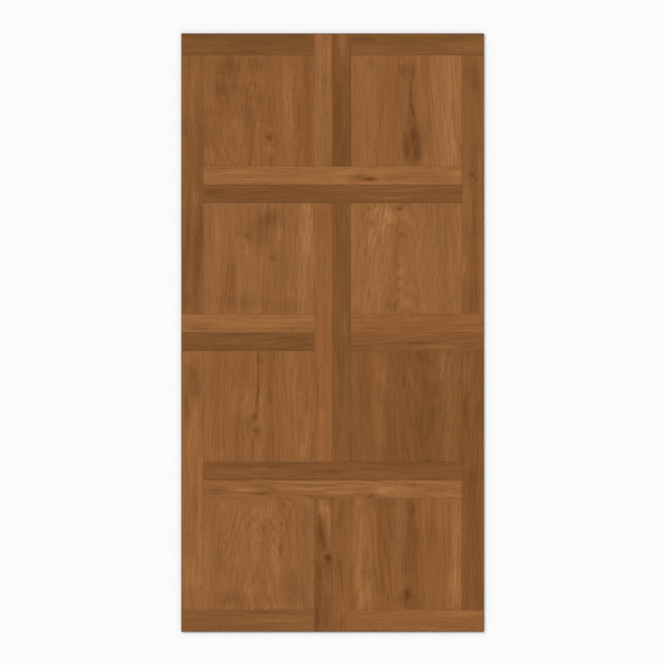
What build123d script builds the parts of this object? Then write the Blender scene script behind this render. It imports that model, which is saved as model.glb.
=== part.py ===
"""Wood-look floor tile: one rectangular sheet of filled vinyl, cut square, with a printed wood face.

The tile lies face up. The origin is at the centre of the underside, the long side runs along Y and
Z points up through the printed face. Sizes are in millimetres.
"""

import os

from build123d import *

# Driving dimensions
tile_width = 455.0  # short side, along X
tile_length = 900.0  # long side, along Y
tile_thickness = 5.0  # underside to printed face
bevel_width = 1.0  # how far the edge bevel reaches in over the printed face
bevel_depth = 0.6  # how far the edge bevel drops down the cut edge

# The sheet: a plain slab whose four cut edges stand square to the floor
with BuildPart() as tile:
    with BuildSketch(Plane.XY):
        Rectangle(tile_width, tile_length)
    extrude(amount=tile_thickness)

    # The edge bevel runs round all four sides of the printed face and meets at mitred corners
    printed_face = tile.faces().sort_by(Axis.Z)[-1]
    chamfer(printed_face.edges(), length=bevel_width, length2=bevel_depth, reference=printed_face)

tile.part.label = "tile"

os.makedirs("parts", exist_ok=True)
export_step(tile.part, "parts/tile.step")
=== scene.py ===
import math
from collections import namedtuple

import bpy
import numpy as np
from mathutils import Color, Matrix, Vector


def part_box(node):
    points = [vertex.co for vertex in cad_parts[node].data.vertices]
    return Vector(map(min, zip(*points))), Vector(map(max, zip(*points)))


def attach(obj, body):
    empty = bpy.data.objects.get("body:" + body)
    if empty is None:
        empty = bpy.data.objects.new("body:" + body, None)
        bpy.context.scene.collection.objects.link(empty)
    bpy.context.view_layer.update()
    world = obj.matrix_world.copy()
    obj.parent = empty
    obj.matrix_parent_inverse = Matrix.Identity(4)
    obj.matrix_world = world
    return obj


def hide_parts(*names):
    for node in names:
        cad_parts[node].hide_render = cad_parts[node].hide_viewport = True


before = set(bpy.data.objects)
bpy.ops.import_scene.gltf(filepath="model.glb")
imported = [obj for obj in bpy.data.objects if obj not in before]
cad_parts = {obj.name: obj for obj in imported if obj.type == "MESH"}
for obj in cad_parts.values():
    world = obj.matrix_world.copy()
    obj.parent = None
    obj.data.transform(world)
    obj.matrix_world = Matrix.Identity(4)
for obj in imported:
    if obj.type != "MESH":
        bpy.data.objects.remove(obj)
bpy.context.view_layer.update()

# The parquet print
# The face shows a woven parquet: square oak fields framed by pairs of narrow strips, with wider strips
# along the edges. All thirty boards are one print on the sheet, pressed apart only by fine lines.

MM = 0.001
sheet_low, sheet_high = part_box("tile")
tile_width = (sheet_high.x - sheet_low.x) / MM
tile_length = (sheet_high.y - sheet_low.y) / MM
edge_strip = 33.0
inner_strip = 27.5
field_width = (tile_width - 2 * edge_strip - 2 * inner_strip) / 2
field_length = (tile_length - 2 * edge_strip - 6 * inner_strip) / 4

column_widths = [edge_strip, field_width, inner_strip, inner_strip, field_width, edge_strip]
row_lengths = [edge_strip] + 3 * [field_length, inner_strip, inner_strip] + [field_length, edge_strip]
column_seams = np.cumsum([0.0] + column_widths)
row_seams = np.cumsum([0.0] + row_lengths)

# Stains of the printed boards, from the palest to the darkest
stains = {
    "honey": (156, 102, 55),
    "pale": (150, 98, 53),
    "pale red": (148, 94, 49),
    "mid": (145, 93, 48),
    "mid olive": (140, 91, 47),
    "mid red": (140, 89, 44),
    "brown": (138, 88, 44),
    "deep": (133, 84, 41),
    "deep red": (132, 83, 41),
    "deep olive": (130, 84, 41),
    "umber olive": (125, 80, 38),
    "umber": (123, 77, 35),
}

# How a board was sawn from its log: distance of the pith to the side and below the face, both in
# millimetres, and how fast the pith runs away below the face along the board
saw_cuts = {
    "crown": (6.0, 46.0, 0.16),
    "half crown": (34.0, 40.0, 0.12),
    "rift": (75.0, 60.0, 0.05),
    "quarter": (120.0, 14.0, 0.02),
}

# Each board: the seams at its left, right, top and bottom, counted from the corner, the way of its grain,
# its stain and its cut
Board = namedtuple("Board", "left right top bottom grain stain cut")
boards = {
    "top left": Board(0, 2, 0, 1, "across", "umber olive", "rift"),
    "top right": Board(4, 6, 0, 1, "across", "deep olive", "quarter"),
    "upper centre left": Board(2, 3, 0, 2, "along", "pale", "quarter"),
    "upper centre right": Board(3, 4, 0, 2, "along", "umber", "rift"),
    "field 1 left": Board(1, 2, 1, 2, "along", "mid", "half crown"),
    "field 1 right": Board(4, 5, 1, 2, "along", "pale", "rift"),
    "upper left edge": Board(0, 1, 1, 5, "along", "brown", "rift"),
    "upper right edge": Board(5, 6, 1, 5, "along", "brown", "quarter"),
    "upper pair above": Board(1, 5, 2, 3, "across", "honey", "rift"),
    "upper pair below": Board(1, 5, 3, 4, "across", "deep", "quarter"),
    "field 2 left": Board(1, 2, 4, 5, "along", "pale", "rift"),
    "field 2 right": Board(4, 5, 4, 5, "along", "pale", "crown"),
    "centre left": Board(2, 3, 4, 8, "along", "pale red", "quarter"),
    "centre right": Board(3, 4, 4, 8, "along", "deep olive", "rift"),
    "middle left above": Board(0, 2, 5, 6, "across", "honey", "quarter"),
    "middle left below": Board(0, 2, 6, 7, "across", "umber olive", "half crown"),
    "middle right above": Board(4, 6, 5, 6, "across", "pale red", "rift"),
    "middle right below": Board(4, 6, 6, 7, "across", "brown", "half crown"),
    "field 3 left": Board(1, 2, 7, 8, "along", "mid", "rift"),
    "field 3 right": Board(4, 5, 7, 8, "along", "deep", "half crown"),
    "lower left edge": Board(0, 1, 7, 11, "along", "pale", "rift"),
    "lower right edge": Board(5, 6, 7, 11, "along", "deep red", "rift"),
    "lower pair above": Board(1, 5, 8, 9, "across", "deep red", "quarter"),
    "lower pair below": Board(1, 5, 9, 10, "across", "pale", "half crown"),
    "field 4 left": Board(1, 2, 10, 11, "along", "pale", "crown"),
    "field 4 right": Board(4, 5, 10, 11, "along", "mid", "rift"),
    "lower centre left": Board(2, 3, 10, 12, "along", "brown", "half crown"),
    "lower centre right": Board(3, 4, 10, 12, "along", "mid red", "quarter"),
    "bottom left": Board(0, 2, 11, 12, "across", "mid olive", "quarter"),
    "bottom right": Board(4, 6, 11, 12, "across", "mid", "rift"),
}
board_names = list(boards)

# Each board comes from its own length of one long log, and no two are sawn quite alike
log_spacing = 2000.0
aside_spread = (0.8, 1.25)
below_spread = (0.85, 1.2)
rise_spread = (0.8, 1.2)
most_lean = 0.02


def board_in_log(number):
    """Rows that take (from left, from top, 1) on the face to (across, along, above the pith) in the log."""
    board = boards[board_names[number]]
    aside, below, rise = saw_cuts[board.cut]
    chance = np.random.default_rng(number)
    aside = aside * chance.uniform(*aside_spread) * chance.choice((-1, 1))
    below = below * chance.uniform(*below_spread)
    rise = rise * chance.uniform(*rise_spread) * chance.choice((-1, 1))
    lean = chance.uniform(-most_lean, most_lean)
    middle_across = (column_seams[board.left] + column_seams[board.right]) / 2
    middle_along = (row_seams[board.top] + row_seams[board.bottom]) / 2
    if board.grain == "along":
        across = np.array([1.0, 0.0, -middle_across])
        along = np.array([0.0, 1.0, -middle_along])
    else:
        across = np.array([0.0, 1.0, -middle_along])
        along = np.array([1.0, 0.0, -middle_across])
    start = np.array([0.0, 0.0, 1.0])
    return np.array([
        across + lean * along + aside * start,
        along + number * log_spacing * start,
        rise * along + below * start,
    ])


board_logs = np.array([board_in_log(number) for number in range(len(boards))])

# Soft streaks and clouds of the print, by board. Each one: middle from left and from top, half size across
# and along the grain, all in millimetres, and its tone, below zero where it is darker than the board
streaks = {
    "top left": [
        (110, 16, 16, 55, -0.10), (22, 20, 12, 40, 0.06), (30, 7, 8, 40, -0.14), (180, 7, 9, 36, -0.16),
    ],
    "top right": [
        (335, 12, 12, 70, -0.20), (271, 9, 9, 32, -0.36), (432, 22, 12, 50, 0.18), (285, 27, 6, 30, 0.10),
        (405, 8, 8, 44, -0.20),
    ],
    "upper centre left": [(209, 90, 6, 160, 0.05), (219, 30, 8, 45, 0.20)],
    "upper centre right": [
        (241, 12, 18, 52, 0.34), (235, 58, 8, 26, 0.22), (237, 110, 12, 76, -0.16),
        (246, 170, 8, 50, -0.12),
    ],
    "field 1 left": [
        (85, 48, 60, 26, -0.26), (70, 82, 36, 44, -0.20), (118, 44, 14, 14, -0.12),
        (100, 122, 18, 32, -0.16), (75, 117, 50, 20, -0.12), (116, 100, 12, 20, -0.20),
        (95, 47, 7, 20, 0.18), (160, 100, 16, 110, 0.12), (188, 115, 10, 220, -0.16),
        (133, 144, 10, 8, 0.20), (134, 175, 15, 10, 0.18), (114, 172, 7, 36, 0.10),
        (116, 138, 9, 9, 0.14), (43, 182, 14, 24, 0.24), (57, 180, 14, 14, 0.06),
        (60, 86, 12, 14, -0.14), (97, 82, 13, 18, -0.12),
    ],
    "field 1 right": [
        (268, 95, 16, 120, -0.08), (318, 115, 20, 200, -0.14), (405, 115, 19, 220, 0.18),
        (411, 170, 12, 40, 0.12), (350, 168, 20, 52, -0.42), (338, 176, 7, 36, -0.28),
        (342, 110, 18, 120, -0.18), (338, 52, 14, 22, -0.24), (285, 45, 14, 14, -0.18),
        (331, 44, 6, 7, 0.20), (366, 152, 18, 44, -0.16),
    ],
    "upper left edge": [
        (18, 90, 22, 90, 0.08), (24, 205, 9, 50, -0.16), (24, 330, 13, 130, -0.30),
        (8, 330, 10, 130, -0.24), (8, 403, 9, 24, -0.22), (9, 150, 10, 50, -0.12),
        (22, 247, 7, 18, 0.14),
    ],
    "upper right edge": [
        (449, 240, 6, 300, 0.12), (438, 62, 16, 34, -0.20), (446, 85, 9, 50, -0.12),
        (445, 175, 9, 30, -0.14), (430, 255, 10, 60, 0.12), (425, 352, 6, 28, 0.20),
        (438, 400, 16, 44, -0.22), (446, 318, 8, 20, 0.18),
    ],
    "upper pair above": [
        (130, 212, 4, 70, 0.12), (85, 208, 7, 40, 0.20), (246, 209, 6, 22, 0.16), (245, 222, 5, 30, 0.12),
        (370, 213, 14, 60, -0.12), (267, 218, 9, 26, -0.38), (318, 217, 10, 40, -0.24),
        (415, 214, 14, 16, 0.12),
    ],
    "upper pair below": [
        (110, 241, 24, 130, -0.10), (48, 240, 12, 28, -0.30), (342, 236, 2.6, 90, 0.18),
        (322, 248, 6, 78, 0.28), (342, 242, 2.2, 80, -0.10),
    ],
    "field 2 left": [
        (136, 278, 22, 20, -0.24), (116, 292, 34, 52, -0.24), (189, 335, 16, 220, 0.15),
        (189, 297, 17, 58, 0.20), (189, 264, 14, 14, 0.14), (53, 300, 14, 44, 0.10),
        (76, 375, 12, 60, -0.18), (140, 360, 22, 70, -0.08), (155, 412, 40, 18, -0.14),
        (90, 404, 56, 18, -0.12), (150, 303, 13, 13, 0.12), (100, 326, 6, 11, 0.12),
        (97, 304, 9, 8, -0.16), (138, 339, 10, 9, -0.16),
    ],
    "field 2 right": [
        (295, 330, 19, 200, 0.14), (312, 275, 44, 36, 0.20), (293, 267, 7, 7, 0.14),
        (310, 272, 7, 14, 0.08), (300, 294, 10, 9, 0.12), (340, 282, 10, 14, 0.16),
        (285, 312, 14, 24, 0.16), (322, 335, 9, 150, -0.16), (331, 341, 6, 8, 0.16),
        (331, 359, 6, 8, 0.14), (331, 377, 6, 8, 0.16), (331, 396, 6, 8, 0.14),
        (400, 330, 24, 160, -0.08), (337, 407, 8, 9, 0.14), (364, 412, 9, 10, 0.14),
        (317, 411, 11, 10, -0.22), (283, 281, 10, 5, -0.12), (318, 288, 7, 5, -0.12),
    ],
    "centre left": [
        (212, 285, 14, 40, -0.12), (205, 545, 2.4, 60, -0.24), (210, 578, 6, 26, 0.14),
        (222, 545, 5, 80, 0.06),
    ],
    "centre right": [
        (241, 335, 13, 110, -0.06), (243, 520, 3, 100, -0.14), (235, 523, 7, 26, 0.16),
        (246, 440, 9, 28, 0.16), (234, 587, 8, 30, -0.18),
    ],
    "middle left above": [(110, 438, 3, 80, 0.12), (160, 444, 6, 50, -0.06), (30, 441, 9, 36, -0.18)],
    "middle left below": [
        (78, 464, 6, 34, 0.14), (78, 454, 4, 40, -0.16), (165, 460, 9, 38, -0.20), (125, 468, 8, 24, 0.10),
    ],
    "middle right above": [(428, 432, 12, 46, 0.14), (340, 446, 5, 110, -0.10), (355, 431, 7, 36, 0.14)],
    "middle right below": [
        (355, 465, 4.5, 58, -0.26), (394, 472, 4.5, 36, 0.20), (300, 472, 9, 44, 0.06),
        (300, 456, 9, 60, -0.10),
    ],
    "field 3 left": [
        (172, 560, 30, 160, 0.06), (187, 608, 12, 56, 0.24), (62, 633, 12, 14, 0.14),
        (75, 560, 6, 110, -0.06), (81, 560, 9, 40, 0.18), (97, 552, 16, 38, 0.18),
        (121, 548, 3.5, 26, 0.18), (134, 545, 7, 18, -0.20), (116, 606, 10, 16, -0.18),
        (88, 622, 4, 34, 0.16), (98, 625, 4, 28, 0.14), (107, 628, 4, 26, -0.18),
        (92, 508, 9, 14, -0.14), (73, 508, 8, 14, -0.12), (132, 620, 9, 50, -0.12),
    ],
    "field 3 right": [
        (293, 560, 13, 200, 0.10), (302, 512, 11, 44, 0.16), (365, 575, 26, 170, -0.16),
        (400, 560, 16, 200, 0.14), (393, 498, 13, 36, 0.26), (347, 512, 7, 26, 0.14),
        (330, 632, 70, 22, -0.04),
    ],
    "lower left edge": [
        (18, 518, 20, 48, -0.26), (8, 565, 9, 48, -0.36), (9, 489, 9, 12, 0.20), (18, 610, 14, 60, 0.14),
        (18, 670, 9, 18, 0.14), (25, 750, 7, 110, 0.10), (14, 810, 16, 40, 0.20), (24, 822, 12, 16, 0.10),
        (24, 536, 8, 24, -0.16),
    ],
    "lower right edge": [
        (430, 513, 9, 42, 0.14), (446, 572, 8, 28, -0.18), (440, 660, 13, 110, -0.10),
        (438, 668, 14, 24, -0.12), (426, 568, 9, 40, -0.24),
    ],
    "lower pair above": [
        (150, 650, 6, 130, -0.18), (118, 653, 6, 18, 0.20), (330, 649, 6, 110, -0.14),
        (75, 661, 4, 44, 0.16), (375, 670, 3, 46, -0.24), (290, 662, 5, 70, 0.16),
        (152, 664, 5, 44, 0.16), (100, 664, 5, 20, 0.14), (228, 660, 12, 16, -0.10),
        (115, 668, 6, 14, 0.10),
    ],
    "lower pair below": [
        (55, 689, 9, 40, -0.24), (97, 687, 3.5, 30, 0.22), (118, 680, 5, 28, -0.24),
        (127, 690, 10, 26, -0.12), (197, 676, 2.8, 76, 0.26), (197, 685, 2.8, 76, 0.24),
        (197, 680, 2, 70, -0.16), (205, 695, 4, 50, -0.10), (240, 691, 7, 44, 0.26),
        (270, 680, 7, 40, 0.18), (302, 687, 10, 18, 0.18), (318, 684, 12, 60, 0.20),
        (346, 680, 6, 24, -0.22), (380, 676, 2.8, 54, 0.18), (395, 694, 5, 40, 0.18),
    ],
    "field 4 left": [
        (125, 722, 22, 22, 0.22), (66, 712, 12, 10, 0.12), (164, 707, 7, 8, 0.18), (112, 760, 11, 46, 0.12),
        (140, 785, 9, 36, 0.14), (98, 838, 8, 16, 0.08), (188, 725, 11, 40, -0.16),
        (186, 790, 12, 160, -0.12), (165, 838, 30, 42, -0.20), (75, 850, 36, 20, -0.18),
        (56, 790, 12, 120, -0.08), (88, 778, 2.4, 22, -0.20), (103, 776, 2.4, 24, -0.20),
    ],
    "field 4 right": [
        (267, 785, 14, 240, 0.22), (276, 836, 22, 32, 0.17), (346, 785, 16, 220, -0.26),
        (338, 785, 11, 80, -0.14), (374, 757, 11, 70, -0.16), (306, 785, 24, 220, -0.06),
        (413, 785, 15, 240, 0.25), (411, 832, 15, 46, 0.22), (333, 852, 18, 20, -0.22),
        (310, 706, 40, 14, -0.10),
    ],
    "lower centre left": [
        (214, 714, 12, 24, 0.36), (221, 735, 7, 40, 0.28), (208, 752, 9, 36, -0.28),
        (206, 850, 10, 90, -0.22), (221, 795, 10, 30, -0.32), (219, 872, 9, 36, -0.28),
    ],
    "lower centre right": [
        (240, 725, 9, 36, -0.16), (241, 822, 3.6, 48, -0.22), (241, 888, 14, 16, -0.14),
        (235, 800, 8, 26, -0.14),
    ],
    "bottom left": [
        (100, 873, 5, 110, -0.08), (130, 884, 4, 80, 0.10), (60, 892, 5, 60, -0.06),
        (115, 892, 5, 50, -0.12),
    ],
    "bottom right": [(420, 873, 7, 56, 0.10), (330, 880, 6, 80, 0.05)],
}

# Knots, cracks and flecks of the print: middle from left and from top, half size across and along the
# grain, all in millimetres, lean in degrees and strength
Mark = namedtuple("Mark", "board kind left down half_across half_along lean strength")
marks = [
    Mark("field 1 left", "knot", 133, 157, 10, 9, 0, 0.38),
    Mark("field 1 left", "fleck", 58, 85, 10, 13, 0, 0.34),
    Mark("field 1 left", "fleck", 80, 78, 6, 12, 0, 0.34),
    Mark("field 1 left", "fleck", 101, 95, 10, 15, 8, 0.40),
    Mark("field 1 left", "fleck", 111, 75, 5, 26, -2, 0.46),
    Mark("field 1 left", "fleck", 145, 158, 2.5, 11, 0, 0.40),
    Mark("field 1 right", "knot", 350, 152, 9, 26, 0, 0.46),
    Mark("field 1 right", "knot", 354, 182, 11, 26, -4, 0.34),
    Mark("field 1 right", "fleck", 339, 172, 5, 26, 0, 0.30),
    Mark("field 1 right", "crack", 349, 58, 5, 26, 10, 0.40),
    Mark("field 1 right", "crack", 345, 92, 5, 34, -2, 0.42),
    Mark("field 1 right", "crack", 349, 120, 5, 26, -7, 0.45),
    Mark("field 1 right", "fleck", 332, 57, 9, 9, 20, 0.26),
    Mark("upper right edge", "knot", 438, 213, 7, 8, 0, 0.44),
    Mark("upper right edge", "fleck", 441, 80, 8, 8, 0, 0.34),
    Mark("upper right edge", "fleck", 436, 303, 11, 6, 10, 0.18),
    Mark("upper pair above", "knot", 284, 220, 6.5, 17, -4, 0.62),
    Mark("upper pair above", "fleck", 266, 218, 3.5, 18, -8, 0.46),
    Mark("field 2 left", "fleck", 124, 284, 10, 12, 0, 0.38),
    Mark("field 2 left", "fleck", 85, 299, 6, 7, 0, 0.35),
    Mark("field 2 left", "fleck", 104, 309, 6, 9, 0, 0.40),
    Mark("field 2 left", "fleck", 94, 322, 6, 6, 0, 0.35),
    Mark("field 2 left", "fleck", 137, 338, 8, 7, 0, 0.28),
    Mark("field 2 right", "knot", 328, 263, 8, 7, 0, 0.38),
    Mark("field 2 right", "fleck", 331, 303, 9, 8, 0, 0.48),
    Mark("field 2 right", "fleck", 283, 263, 6, 5, 0, 0.40),
    Mark("field 2 right", "fleck", 286, 286, 9, 5, 0, 0.34),
    Mark("field 2 right", "fleck", 312, 290, 6, 6, 0, 0.36),
    Mark("field 2 right", "fleck", 327, 350, 6, 5, 0, 0.46),
    Mark("field 2 right", "fleck", 327, 368, 6, 5, 0, 0.46),
    Mark("field 2 right", "fleck", 327, 386, 6, 6, 0, 0.46),
    Mark("field 3 left", "crack", 116, 490, 4, 28, 0, 0.56),
    Mark("field 3 left", "crack", 115, 536, 4, 58, 2, 0.66),
    Mark("field 3 left", "knot", 109, 575, 9, 13, 22, 0.34),
    Mark("field 3 left", "knot", 112, 597, 10, 9, 0, 0.33),
    Mark("field 3 left", "fleck", 121, 492, 8, 7, 0, 0.44),
    Mark("field 3 right", "fleck", 335, 524, 5, 16, 4, 0.50),
    Mark("field 3 right", "fleck", 358, 484, 16, 5, 0, 0.34),
    Mark("lower left edge", "fleck", 20, 512, 9, 12, 0, 0.35),
    Mark("lower left edge", "fleck", 18, 541, 8, 8, 0, 0.35),
    Mark("lower pair below", "knot", 284, 696, 5, 9, 12, 0.52),
    Mark("lower pair below", "fleck", 138, 686, 3, 10, -20, 0.52),
    Mark("lower pair below", "fleck", 122, 692, 3, 12, 8, 0.46),
    Mark("field 4 left", "knot", 154, 713, 8, 9, 0, 0.22),
    Mark("field 4 left", "fleck", 151, 737, 2.5, 10, 0, 0.46),
    Mark("field 4 left", "fleck", 150, 777, 5, 18, 6, 0.46),
    Mark("lower centre left", "crack", 209, 745, 8, 24, -10, 0.24),
    Mark("lower centre left", "crack", 213, 762, 7, 22, -14, 0.50),
    Mark("lower centre left", "knot", 220, 789, 10, 11, 0, 0.54),
    Mark("lower centre left", "fleck", 206, 812, 10, 30, 0, 0.38),
    Mark("lower centre left", "fleck", 204, 888, 6, 16, 0, 0.42),
    Mark("field 4 right", "fleck", 349, 718, 7, 14, 0, 0.56),
    Mark("field 4 right", "fleck", 352, 757, 8, 28, 0, 0.40),
    Mark("field 4 right", "knot", 340, 842, 9, 19, 0, 0.44),
]

# Slow waves of the grain along a board: how far they reach aside and the length that one radian takes, both
# in millimetres, and by how many radians a wave shifts for each millimetre across
grain_waves = [(2.2, 37.0, 0.0), (1.6, 83.0, 0.048)]


def sway_of(places):
    """How far the grain wanders sideways at places in the log, in millimetres."""
    across = places[..., 0]
    along = places[..., 1]
    return sum(reach * np.sin(along / length + across * shift) for reach, length, shift in grain_waves)


def nearness(places, board, left, down, half_across, half_along, lean=0.0):
    """1 in the middle of a mark or a streak on a board, falling to 0 at its edge."""
    middle = board_logs[board] @ (left, down, 1.0)
    turn = math.radians(lean)
    aside = places[..., 0] - middle[0] + sway_of(places) - sway_of(middle)
    ahead = places[..., 1] - middle[1]
    out_across = (aside * math.cos(turn) + ahead * math.sin(turn)) / half_across
    out_along = (ahead * math.cos(turn) - aside * math.sin(turn)) / half_along
    return np.clip(1 - out_across ** 2 - out_along ** 2, 0, 1) ** 2


# The sheet
# One plain sheet of filled vinyl, cut square. The face is pressed: fine lines part the printed boards,
# the grain stands in low waves and the knots and cracks lie a little deeper.

face_height = sheet_high.z / MM
underside_height = sheet_low.z / MM

# The width and the foot of the bevel are read from the corners of the solid
node_points = np.array([point.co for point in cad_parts["tile"].data.vertices]) / MM
touching = 0.01
face_reach = node_points[node_points[:, 2] > face_height - touching][:, 0].max()
side_height = node_points[node_points[:, 0] > sheet_high.x / MM - touching][:, 2].max()
bevel_width = sheet_high.x / MM - face_reach

# The pressed lines, and the cells of the mesh, which are longer in the rows of the fields
groove_reach = 0.4
groove_depth = 0.1
strip_cell = 1.75
field_cell = 3.6


def grid_lines(seams, cells):
    """Lines of the mesh across the face: the seams, a line close to each side of them, and the cells."""
    lines = [seams[0]]
    for left, right, cell in zip(seams, seams[1:], cells):
        start = left + (bevel_width if left == seams[0] else groove_reach)
        end = right - (bevel_width if right == seams[-1] else groove_reach)
        lines.extend(np.linspace(start, end, round((end - start) / cell) + 1))
        lines.append(right)
    return np.array(lines)


column_lines = grid_lines(column_seams, [strip_cell] * len(column_widths))
row_cells = [field_cell if size == field_length else strip_cell for size in row_lengths]
row_lines = grid_lines(row_seams, row_cells)
columns = len(column_lines)
rows = len(row_lines)

# Which board each face of the grid belongs to
board_of_cell = np.zeros((len(row_lengths), len(column_widths)), int)
for number, board in enumerate(boards.values()):
    board_of_cell[board.top:board.bottom, board.left:board.right] = number
middle_columns = (column_lines[1:] + column_lines[:-1]) / 2
middle_rows = (row_lines[1:] + row_lines[:-1]) / 2
column_of_face = np.searchsorted(column_seams, middle_columns) - 1
row_of_face = np.searchsorted(row_seams, middle_rows) - 1
board_of_face = board_of_cell[row_of_face[:, None], column_of_face[None, :]]

# Depth of the pressing at each point of the grid
wave_length = 9.0
wave_depth = 0.05
sink_depths = {"knot": 0.12, "crack": 0.16, "fleck": 0.05}
from_left, from_top = np.meshgrid(column_lines, row_lines)
padded = np.pad(board_of_face, 1, mode="edge")
around = np.stack([padded[:-1, :-1], padded[:-1, 1:], padded[1:, :-1], padded[1:, 1:]])
on_seam = around.min(0) != around.max(0)
board_of_point = around[-1]
place_on_face = np.stack([from_left, from_top, np.ones_like(from_left)], axis=-1)
in_log = np.einsum("...ij,...j->...i", board_logs[board_of_point], place_on_face)
from_pith = np.hypot(in_log[..., 0], in_log[..., 2]) + sway_of(in_log)
depth = wave_depth * (1 + np.sin(2 * math.pi * from_pith / wave_length)) / 2
for mark in marks:
    number = board_names.index(mark.board)
    near = nearness(in_log, number, mark.left, mark.down, mark.half_across, mark.half_along, mark.lean)
    depth += sink_depths[mark.kind] * np.where(board_of_point == number, near, 0)
depth[on_seam] = groove_depth
height = face_height - depth

# The outermost points are the foot of the bevel
for edge in (height[0], height[-1], height[:, 0], height[:, -1]):
    edge[:] = side_height
points = np.stack([from_left, tile_length - from_top, height], axis=-1).reshape(-1, 3)
points[:, :2] += (sheet_low.x / MM, sheet_low.y / MM)

# The underside is flat, on a wider grid that uses some of the lines of the face
under_cells_across = 18
under_cells_along = 36
under_columns = np.linspace(0, columns - 1, under_cells_across + 1).round().astype(int)
under_rows = np.linspace(0, rows - 1, under_cells_along + 1).round().astype(int)
grid = np.arange(rows * columns).reshape(rows, columns)
under_points = points.reshape(rows, columns, 3)[np.ix_(under_rows, under_columns)].copy()
under_points[..., 2] = underside_height
under_grid = rows * columns + np.arange(under_rows.size * under_columns.size)
under_grid = under_grid.reshape(under_rows.size, under_columns.size)
points = np.concatenate([points, under_points.reshape(-1, 3)])


def squares(grid):
    """Corners of the squares of a grid of points, each anticlockwise from above."""
    return np.stack([grid[:-1, :-1], grid[1:, :-1], grid[1:, 1:], grid[:-1, 1:]], axis=-1)


PRINT, BEVEL, CUT_EDGE, UNDERSIDE = range(4)
faces = []
finishes = []
face_boards = []


def add_face(corners, finish, board=0):
    """Notes a face of the sheet, with its finish and the board that it shows."""
    faces.append([int(corner) for corner in corners])
    finishes.append(finish)
    face_boards.append(board)


# The printed face and, as its outermost ring, the bevel, which is mitred at the four corners
face_squares = squares(grid)
for row in range(rows - 1):
    for column in range(columns - 1):
        far_left, near_left, near_right, far_right = face_squares[row, column]
        board = board_of_face[row, column]
        on_end = row in (0, rows - 2)
        on_side = column in (0, columns - 2)
        if on_end and on_side:
            falls_right = (row == 0) == (column == 0)
            if falls_right:
                add_face((far_left, near_left, near_right), BEVEL, board)
                add_face((far_left, near_right, far_right), BEVEL, board)
            else:
                add_face((far_right, far_left, near_left), BEVEL, board)
                add_face((far_right, near_left, near_right), BEVEL, board)
        else:
            finish = BEVEL if on_end or on_side else PRINT
            add_face((far_left, near_left, near_right, far_right), finish, board)

# The four cut edges, each taken from left to right as it is seen from outside: the points along its top,
# those along its foot, and where the foot's points stand in the row at the top
cut_edges = [
    (grid[:, 0], under_grid[:, 0], under_rows),
    (grid[-1], under_grid[-1], under_columns),
    (grid[::-1, -1], under_grid[::-1, -1], rows - 1 - under_rows[::-1]),
    (grid[0, ::-1], under_grid[0, ::-1], columns - 1 - under_columns[::-1]),
]
for upper, lower, stops in cut_edges:
    for step in range(len(stops) - 1):
        above = upper[stops[step]:stops[step + 1] + 1][::-1]
        add_face((lower[step], lower[step + 1], *above), CUT_EDGE)

for corners in squares(under_grid).reshape(-1, 4):
    add_face(corners[::-1], UNDERSIDE)

sheet_mesh = bpy.data.meshes.new("tile_sheet")
sheet_mesh.from_pydata((points * MM).tolist(), [], faces)
finishes = np.array(finishes)
sheet_mesh.polygons.foreach_set("material_index", finishes)
sheet_mesh.polygons.foreach_set("use_smooth", finishes == PRINT)


screen_white = 255
opaque = 1.0


def linear(shade):
    """A screen colour, three values from 0 to 255, as the linear colour with alpha that a shader takes."""
    on_screen = Color([part / screen_white for part in shade])
    return (*on_screen.from_srgb_to_scene_linear(), opaque)


# What the print needs at each corner of a face: its place in the log, its way to the seam, its stain and
# the tone of the streaks there
corner_counts = [len(face) for face in faces]
corner_points = np.concatenate(faces)
corner_boards = np.repeat(face_boards, corner_counts)
corner_left = points[corner_points, 0] - sheet_low.x / MM
corner_top = sheet_high.y / MM - points[corner_points, 1]
corner_places = np.stack([corner_left, corner_top, np.ones_like(corner_left)], axis=-1)
log_places = np.einsum("nij,nj->ni", board_logs[corner_boards], corner_places)
board_sides = np.array([
    (column_seams[board.left], column_seams[board.right], row_seams[board.top], row_seams[board.bottom])
    for board in boards.values()
])
left_side, right_side, top_side, bottom_side = board_sides[corner_boards].T
seam_gaps = np.min([
    corner_left - left_side,
    right_side - corner_left,
    corner_top - top_side,
    bottom_side - corner_top,
], axis=0)

corner_stains = np.array([linear(stains[board.stain]) for board in boards.values()])[corner_boards]
corner_tones = np.zeros(len(corner_points))
for number, name in enumerate(board_names):
    own = corner_boards == number
    for left, down, half_across, half_along, tone in streaks[name]:
        near = nearness(log_places[own], number, left, down, half_across, half_along)
        corner_tones[own] += tone * near


def give_corners(name, kind, field, values):
    """Keeps a value for each corner of each face, under a name that the finish can read."""
    layer = sheet_mesh.attributes.new(name, kind, "CORNER")
    layer.data.foreach_set(field, np.asarray(values, np.float32).ravel())


give_corners("log_place", "FLOAT_VECTOR", "vector", log_places)
give_corners("seam_gap", "FLOAT", "value", seam_gaps)
give_corners("stain", "FLOAT_COLOR", "color", corner_stains)
give_corners("tone", "FLOAT", "value", corner_tones)

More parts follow.
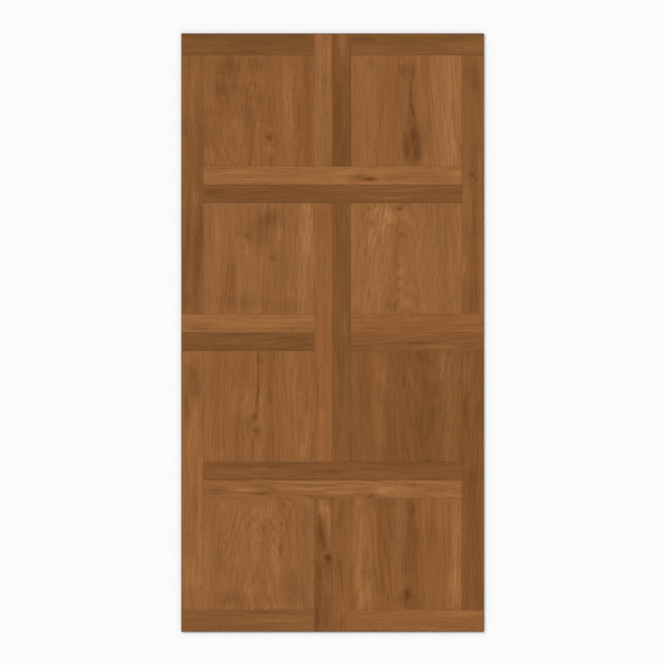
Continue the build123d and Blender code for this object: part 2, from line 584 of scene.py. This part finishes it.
# The flat map of the sheet, one unit wide and long: the printed face takes most of it, the underside a
# band beside it and the four cut edges a strip each
map_margin = 0.005
face_share = 0.815
underside_start = 0.83
underside_share = 0.13
edge_start = 0.972
edge_step = 0.007
edge_share = 0.004
corner_finishes = np.repeat(finishes, corner_counts)
on_edge = corner_finishes == CUT_EDGE
on_underside = corner_finishes == UNDERSIDE
face_normals = np.empty((len(faces), 3), np.float32)
sheet_mesh.polygons.foreach_get("normal", face_normals.ravel())
outward = np.array([(-1, 0, 0), (0, -1, 0), (1, 0, 0), (0, 1, 0)])
corner_sides = np.repeat((face_normals @ outward.T).argmax(1), corner_counts)
on_short_edge = on_edge & (corner_sides % 2 == 1)
share_across = corner_left / tile_width
share_along = 1 - corner_top / tile_length
share_up = (points[corner_points, 2] - underside_height) / (side_height - underside_height)
map_across = map_margin + face_share * share_across
map_across = np.where(on_underside, underside_start + underside_share * share_across, map_across)
map_across = np.where(on_edge, edge_start + edge_step * corner_sides + edge_share * share_up, map_across)
map_along = np.where(on_short_edge, share_across, share_along)
map_along = map_margin + (1 - 2 * map_margin) * map_along
flat_map = sheet_mesh.uv_layers.new(name="OFBake")
flat_map.data.foreach_set("uv", np.stack([map_across, map_along], axis=-1).astype(np.float32).ravel())


def show(name, data):
    """A new object of the scene for a mesh, a lamp or a camera."""
    thing = bpy.data.objects.new(name, data)
    bpy.context.scene.collection.objects.link(thing)
    return thing


sheet = show("tile_sheet", sheet_mesh)
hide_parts("tile")
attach(sheet, "root")

# The wood finish
# A photo-like print of stained oak under a clear satin wear layer. Each board is drawn as a slice of a
# log: growth rings round the pith, long fibres, short dark pores, knots that the grain bends round.


def new_finish(name):
    """A new material that is made of shader nodes."""
    finish = bpy.data.materials.new(name)
    finish.use_nodes = True
    return finish


def shader_of(finish):
    """The shader that a finish ends in."""
    return finish.node_tree.nodes["Principled BSDF"]


def put(tree, kind, inputs=None, **settings):
    """Adds a shader node. An input that is a socket gets linked, and any other value is set."""
    node = tree.nodes.new("ShaderNode" + kind)
    for name, value in settings.items():
        setattr(node, name, value)
    for name, value in (inputs or {}).items():
        if isinstance(value, bpy.types.NodeSocket):
            tree.links.new(value, node.inputs[name])
        else:
            node.inputs[name].default_value = value
    return node


def calc(tree, operation, *values):
    """Reckons with numbers."""
    return put(tree, "Math", dict(enumerate(values)), operation=operation).outputs["Value"]


def vector(tree, operation, *values):
    """Reckons with places or colours. A length or a dot product comes out as a number."""
    node = put(tree, "VectorMath", dict(enumerate(values)), operation=operation)
    return node.outputs["Value" if operation in ("LENGTH", "DOT_PRODUCT") else "Vector"]


def scaled(tree, value, factor):
    """A place or a colour times a number."""
    return put(tree, "VectorMath", {0: value, "Scale": factor}, operation="SCALE").outputs["Vector"]


def fade(tree, value, start, end, first=0.0, last=1.0):
    """A smooth change from first to last while the value goes from start to end."""
    limits = {"Value": value, "From Min": start, "From Max": end, "To Min": first, "To Max": last}
    return put(tree, "MapRange", limits, interpolation_type="SMOOTHSTEP").outputs["Result"]


# The sockets for colours on a node that mixes, by number because several share a name
MIX_SHARE, MIX_FIRST, MIX_SECOND = 0, 6, 7
MIX_RESULT = 2


def blend_colour(tree, share, first, second):
    """Goes from the first colour to the second as the share goes from 0 to 1."""
    inputs = {MIX_SHARE: share, MIX_FIRST: first, MIX_SECOND: second}
    return put(tree, "Mix", inputs, data_type="RGBA").outputs[MIX_RESULT]


grain_detail = 2.0


def grain_noise(tree, place, across, along, detail=grain_detail, output="Fac"):
    """Noise drawn out along the grain, by the size of its patches across and along in millimetres."""
    fitted = vector(tree, "MULTIPLY", place, (1 / across, 1 / along, 1 / across))
    return put(tree, "TexNoise", {"Vector": fitted, "Scale": 1.0, "Detail": detail}).outputs[output]


noise_middle = 0.5


def grain_waver(tree, place, across, along):
    """The same noise, swinging about zero."""
    return calc(tree, "SUBTRACT", grain_noise(tree, place, across, along), noise_middle)


def grain_drift(tree, place, across, along):
    """The same noise as a direction, swinging about zero."""
    noise = grain_noise(tree, place, across, along, output="Color")
    return vector(tree, "SUBTRACT", noise, (noise_middle, noise_middle, noise_middle))


oak = new_finish("oak_print")
satin = shader_of(oak)
tree = oak.node_tree
log_place = put(tree, "Attribute", attribute_name="log_place").outputs["Vector"]
seam_gap = put(tree, "Attribute", attribute_name="seam_gap").outputs["Fac"]
stain = put(tree, "Attribute", attribute_name="stain").outputs["Color"]
tone = put(tree, "Attribute", attribute_name="tone").outputs["Fac"]
without_height = (1.0, 1.0, 0.0)
flat_place = vector(tree, "MULTIPLY", log_place, without_height)


def in_mark(tree, place, mark):
    """The place as seen from a mark, with the mark's half sizes as its units."""
    middle = board_logs[board_names.index(mark.board)] @ (mark.left, mark.down, 1.0)
    settings = {
        "Vector": place,
        "Location": (middle[0], middle[1], 0.0),
        "Rotation": (0.0, 0.0, math.radians(mark.lean)),
        "Scale": (mark.half_across, mark.half_along, 1.0),
    }
    return put(tree, "Mapping", settings, vector_type="TEXTURE").outputs["Vector"]


# The grain parts round each knot, as water round a post
knot_softness = 0.6
knot_push = 1.1
only_across = (1.0, 0.0, 0.0)
grain_place = log_place
for mark in marks:
    if mark.kind == "knot":
        seen = in_mark(tree, flat_place, mark)
        spread = calc(tree, "ADD", vector(tree, "DOT_PRODUCT", seen, seen), knot_softness)
        push = calc(tree, "DIVIDE", -knot_push * mark.half_across, spread)
        aside = vector(tree, "MULTIPLY", seen, only_across)
        grain_place = vector(tree, "ADD", grain_place, scaled(tree, aside, push))

# Growth rings, which sway a little along the log, with ragged lines and years of unequal strength
sway_patch = (40.0, 260.0)
sway_reach = (26.0, 0.0, 26.0)
without_along = (1.0, 0.0, 1.0)
ring_width = 4.2
ragged_patch = (2.2, 30.0)
early_wood_end = 0.55
late_wood_start = 0.75
ring_drift = grain_drift(tree, grain_place, *sway_patch)
ring_place = vector(tree, "MULTIPLY_ADD", ring_drift, sway_reach, grain_place)
ring_radius = vector(tree, "LENGTH", vector(tree, "MULTIPLY", ring_place, without_along))
ragged = grain_waver(tree, grain_place, *ragged_patch)
ring_count = calc(tree, "MULTIPLY_ADD", ring_radius, 1 / ring_width, ragged)
year = calc(tree, "FLOOR", ring_count)
year_strength = put(tree, "TexWhiteNoise", {"W": year}, noise_dimensions="1D").outputs["Value"]
season = calc(tree, "FRACT", ring_count)
early_wood = fade(tree, season, 0.0, early_wood_end, 1.0, 0.0)
late_wood = fade(tree, season, late_wood_start, 1.0)
ring_shade = calc(tree, "MULTIPLY", calc(tree, "MAXIMUM", early_wood, late_wood), year_strength)

# Fibres and bands: patch size across and along, in millimetres, and how much they lighten or darken
ring_contrast = 0.14
middle_light = 0.995
light = calc(tree, "MULTIPLY_ADD", ring_shade, -ring_contrast, middle_light)
fibre_layers = [
    (22.0, 300.0, 0.42),
    (6.0, 240.0, 0.36),
    (1.6, 80.0, 0.32),
    (0.6, 26.0, 0.22),
]
for across, along, share in fibre_layers:
    light = calc(tree, "MULTIPLY_ADD", grain_waver(tree, grain_place, across, along), share, light)

# Pores: short dark dashes, most of them in the early wood
pore_patch = (0.45, 9.0)
early_wood_share = 0.09
pore_start = 0.62
pore_full = 0.74
pore_contrast = 0.26
pore_detail = 1.0
pore_noise = grain_noise(tree, grain_place, *pore_patch, pore_detail)
pore_noise = calc(tree, "MULTIPLY_ADD", early_wood, early_wood_share, pore_noise)
pores = fade(tree, pore_noise, pore_start, pore_full)
light = calc(tree, "MULTIPLY_ADD", pores, -pore_contrast, light)

# The streaks and marks of the print break up into fibres
fibre_patch = (1.3, 70.0)
fibre_break = 2.6
fibrous = calc(tree, "MULTIPLY_ADD", grain_waver(tree, grain_place, *fibre_patch), fibre_break, 1.0)
streak_light = calc(tree, "EXPONENT", calc(tree, "MULTIPLY", tone, fibrous))
light = calc(tree, "MULTIPLY", light, streak_light)

# Darker wood is warmer too, so green and blue fall faster than red
warmth = (1.0, 1.16, 1.6)
shades = [calc(tree, "POWER", light, power) for power in warmth]
grain_shade = put(tree, "CombineXYZ", dict(zip("XYZ", shades))).outputs["Vector"]
colour = vector(tree, "MULTIPLY", stain, grain_shade)

# Clouds of olive and streaks of red in the stain: patch size across and along, and tint
tint_start = 0.5
tint_full = 0.8
tint_detail = 3.0
tints = [
    (30.0, 110.0, (0.92, 0.97, 0.94)),
    (9.0, 260.0, (1.05, 0.97, 0.92)),
]
for across, along, tint in tints:
    share = fade(tree, grain_noise(tree, grain_place, across, along, tint_detail), tint_start, tint_full)
    colour = blend_colour(tree, share, colour, vector(tree, "MULTIPLY", colour, tint))

# Marks, with ragged outlines: their colour, and how far out from its middle a mark stays solid. A knot
# has a darker core
mark_looks = {
    "knot": ((92, 49, 2), 0.1),
    "crack": ((94, 51, 3), 0.1),
    "fleck": ((104, 58, 8), 0.0),
}
core_shade = (72, 36, 4)
core_solid = 0.2
core_edge = 0.42
core_strength = 0.5
wander_patch = (5.0, 18.0)
wander_reach = (4.0, 12.0, 0.0)
mark_wander = grain_drift(tree, flat_place, *wander_patch)
mark_place = vector(tree, "MULTIPLY_ADD", mark_wander, wander_reach, flat_place)
for mark in marks:
    shade, solid = mark_looks[mark.kind]
    away = vector(tree, "LENGTH", in_mark(tree, mark_place, mark))
    cover = calc(tree, "MULTIPLY", fade(tree, away, solid, 1.0, mark.strength, 0.0), fibrous)
    colour = blend_colour(tree, cover, colour, linear(shade))
    if mark.kind == "knot":
        cover = fade(tree, away, core_solid, core_edge, core_strength * mark.strength, 0.0)
        colour = blend_colour(tree, cover, colour, linear(core_shade))

# Painted shade: along the pressed lines between the boards the colour darkens in a thin line, standing in
# for the shade of the fine grooves
seam_half = 0.2
seam_reach = 0.75
seam_light = 0.78
seam_painted_shade = fade(tree, seam_gap, seam_half, seam_reach, seam_light, 1.0)
colour = scaled(tree, colour, seam_painted_shade)
tree.links.new(colour, satin.inputs["Base Color"])

# The wear layer is satin, a little duller in the pores and the dark of the rings, and follows the grain
plain_roughness = 0.46
pore_roughness = 0.14
ring_roughness = 0.05
satin_shine = 0.12
fine_patch = (0.5, 24.0)
fine_depth = 0.12 * MM
fine_strength = 0.35
roughness = calc(tree, "MULTIPLY_ADD", pores, pore_roughness, plain_roughness)
roughness = calc(tree, "MULTIPLY_ADD", ring_shade, ring_roughness, roughness)
tree.links.new(roughness, satin.inputs["Roughness"])
satin.inputs["Specular IOR Level"].default_value = satin_shine
relief = calc(tree, "SUBTRACT", grain_noise(tree, grain_place, *fine_patch), pores)
pressed = put(tree, "Bump", {"Height": relief, "Strength": fine_strength, "Distance": fine_depth})
tree.links.new(pressed.outputs["Normal"], satin.inputs["Normal"])
sheet_mesh.materials.append(oak)

# The bevel
# The edge of the face is cut at a slant all round and painted dark brown, which draws a thin line round
# the print. The roller leaves the paint a little uneven.

patch_detail = 3.0
patch_start = 0.35
patch_full = 0.7


def mottled_finish(name, dark, pale, patches, roughness):
    """A finish that goes from dark to pale in patches, given as how many there are to a metre."""
    finish = new_finish(name)
    shader = shader_of(finish)
    tree = finish.node_tree
    here = put(tree, "TexCoord").outputs["Object"]
    noise = put(tree, "TexNoise", {"Vector": here, "Scale": patches, "Detail": patch_detail}).outputs["Fac"]
    share = fade(tree, noise, patch_start, patch_full)
    tree.links.new(blend_colour(tree, share, linear(dark), linear(pale)), shader.inputs["Base Color"])
    tree.links.new(fade(tree, noise, patch_start, patch_full, *roughness), shader.inputs["Roughness"])
    return finish


paint_dark = (86, 48, 16)
paint_pale = (102, 60, 24)
paint_patches = 160.0
paint_roughness = (0.5, 0.62)
bevel_paint = mottled_finish("bevel_paint", paint_dark, paint_pale, paint_patches, paint_roughness)
shader_of(bevel_paint).inputs["Specular IOR Level"].default_value = satin_shine
sheet_mesh.materials.append(bevel_paint)

# The cut edge
# The sheet is cut with a knife, so its four sides show bare filled vinyl, grey brown, with fine specks of
# the filler.

vinyl_dark = (104, 92, 80)
vinyl_pale = (134, 122, 108)
vinyl_specks = 1800.0
vinyl_roughness = (0.62, 0.75)
cut_vinyl = mottled_finish("cut_vinyl", vinyl_dark, vinyl_pale, vinyl_specks, vinyl_roughness)
sheet_mesh.materials.append(cut_vinyl)

# The underside
# The back of the sheet is bare grey vinyl. It leaves the roller with a fine pebbled texture that grips
# the floor or the glue.

back_dark = (92, 83, 75)
back_pale = (102, 92, 83)
back_patches = 90.0
back_roughness = (0.6, 0.75)
pebbles = 420.0
pebble_height = 0.3 * MM
pebble_strength = 0.5
backing = mottled_finish("rolled_backing", back_dark, back_pale, back_patches, back_roughness)
tree = backing.node_tree
here = put(tree, "TexCoord").outputs["Object"]
pebble = put(tree, "TexVoronoi", {"Vector": here, "Scale": pebbles}).outputs["Distance"]
rolled = put(tree, "Bump", {"Height": pebble, "Strength": pebble_strength, "Distance": pebble_height})
tree.links.new(rolled.outputs["Normal"], shader_of(backing).inputs["Normal"])
sheet_mesh.materials.append(backing)

# The floor, the light and the camera
# A plain matt white floor under an even sky and one soft lamp from the upper left. The camera looks
# straight down on the sheet, through a long lens that keeps its sides parallel.

floor_reach = 40.0
floor_gap = 0.2 * MM
floor_white = 0.97
floor_roughness = 0.9
floor_shine = 0.0
floor_mesh = bpy.data.meshes.new("floor")
corners = [(-1, -1), (1, -1), (1, 1), (-1, 1)]
floor_points = [(x * floor_reach, y * floor_reach, sheet_low.z - floor_gap) for x, y in corners]
floor_mesh.from_pydata(floor_points, [], [(0, 1, 2, 3)])
floor = show("floor", floor_mesh)
white = new_finish("white_floor")
matt = shader_of(white)
matt.inputs["Base Color"].default_value = (floor_white, floor_white, floor_white, opaque)
matt.inputs["Roughness"].default_value = floor_roughness
matt.inputs["Specular IOR Level"].default_value = floor_shine
floor_mesh.materials.append(white)

sky_colour = (1.0, 1.0, 1.0, opaque)
sky_share = 0.62
sky = bpy.data.worlds.new("even_sky")
sky.use_nodes = True
sky_glow = sky.node_tree.nodes["Background"]
sky_glow.inputs["Color"].default_value = sky_colour
sky_glow.inputs["Strength"].default_value = sky_share
bpy.context.scene.world = sky

lamp_from = Vector((-0.45, 0.45, 0.77)).normalized()
lamp_spread = 24.0
lamp = bpy.data.lights.new("soft_lamp", "SUN")
lamp.angle = math.radians(lamp_spread)
lamp.energy = (1 - sky_share) * math.pi / lamp_from.z
lamp_stand = show("soft_lamp", lamp)
lamp_stand.rotation_euler = lamp_from.to_track_quat("Z", "Y").to_euler()

frame_height = 1.0
long_lens = 200.0
camera = bpy.data.cameras.new("overhead")
camera.lens = long_lens
camera_rise = frame_height * long_lens / camera.sensor_width
camera_stand = show("overhead", camera)
camera_stand.location = (0.0, 0.0, sheet_high.z + camera_rise)
bpy.context.scene.camera = camera_stand
bpy.context.scene.view_settings.view_transform = "Standard"
